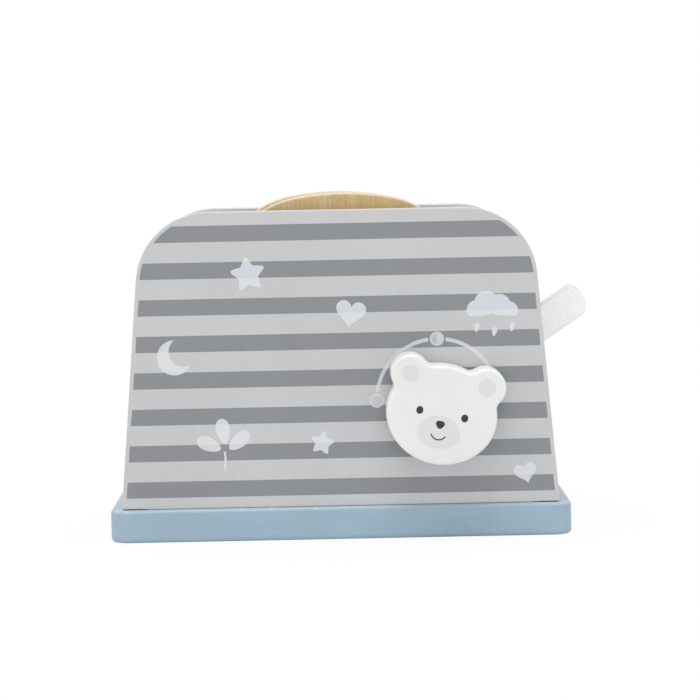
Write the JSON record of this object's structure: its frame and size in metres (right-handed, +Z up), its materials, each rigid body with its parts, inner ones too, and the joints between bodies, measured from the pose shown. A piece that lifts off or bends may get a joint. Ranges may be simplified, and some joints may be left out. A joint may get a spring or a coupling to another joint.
{
  "type": "toy toaster",
  "caption": "Wooden play toaster with wooden toast slices, a side lever that lifts them, a turning knob and a flat base.",
  "frame": {"origin": "middle of the base's underside", "axes": "+X towards the lever, +Y from front to back, +Z up"},
  "size_m": [0.2209, 0.1065, 0.1569],
  "materials": {
    "printed_board": "light grey paint, satin, with printed darker grey stripes",
    "grey_board": "light grey paint, satin",
    "blue_board": "dusty blue paint, satin",
    "white_wood": "white paint, satin",
    "toast_wood": "clear matt varnish on light wood",
    "dowel_wood": "bare beech",
    "bare_plywood": "bare birch plywood",
    "washer_fibre": "off-white",
    "screw_steel": "zinc plated"
  },
  "bodies": {
    "root": {"base_board": "blue_board", "front_panel": "printed_board", "back_panel": "grey_board", "front_left_spacer": "grey_board", "rear_left_spacer": "grey_board", "left_core": "grey_board", "slot_divider": "grey_board", "upper_lever_block": "grey_board", "lower_lever_block": "grey_board", "front_right_cheek": "grey_board", "rear_right_cheek": "grey_board", "panel_dowels": "dowel_wood", "tray_pegs": "dowel_wood", "base_screws": "screw_steel", "lever_pin": "dowel_wood"},
    "lever": {"lever": "white_wood", "lift_dowel": "dowel_wood"},
    "tray": {"lift_tray": "bare_plywood"},
    "front_slice": {"toast_front": "toast_wood"},
    "rear_slice": {"toast_rear": "toast_wood"},
    "knob": {"knob": "white_wood", "knob_washer": "washer_fibre", "knob_axle": "dowel_wood", "knob_retainer": "dowel_wood"}
  },
  "joints": [
    {"name": "lever_press", "type": "hinge", "parent": "root", "child": "lever", "pos_m": [0.0642, 0, 0.07355], "axis": [0, 1, 0], "range_deg": [0, 24]},
    {"name": "tray_lift", "type": "slide", "parent": "root", "child": "tray", "axis": [0, 0, 1], "range_m": [0, 0.0258]},
    {"name": "toast_front_lift", "type": "slide", "parent": "tray", "child": "front_slice", "axis": [0, 0, 1], "range_m": [0, 0.085]},
    {"name": "toast_rear_lift", "type": "slide", "parent": "tray", "child": "rear_slice", "axis": [0, 0, 1], "range_m": [0, 0.085]},
    {"name": "knob_turn", "type": "hinge", "parent": "root", "child": "knob", "pos_m": [0.04475, -0.0415, 0.0627], "axis": [0, 1, 0], "continuous": true}
  ],
  "couplings": [
    {"joint": "tray_lift", "follows": "lever_press", "m_per_rad": 0.061548}
  ]
}
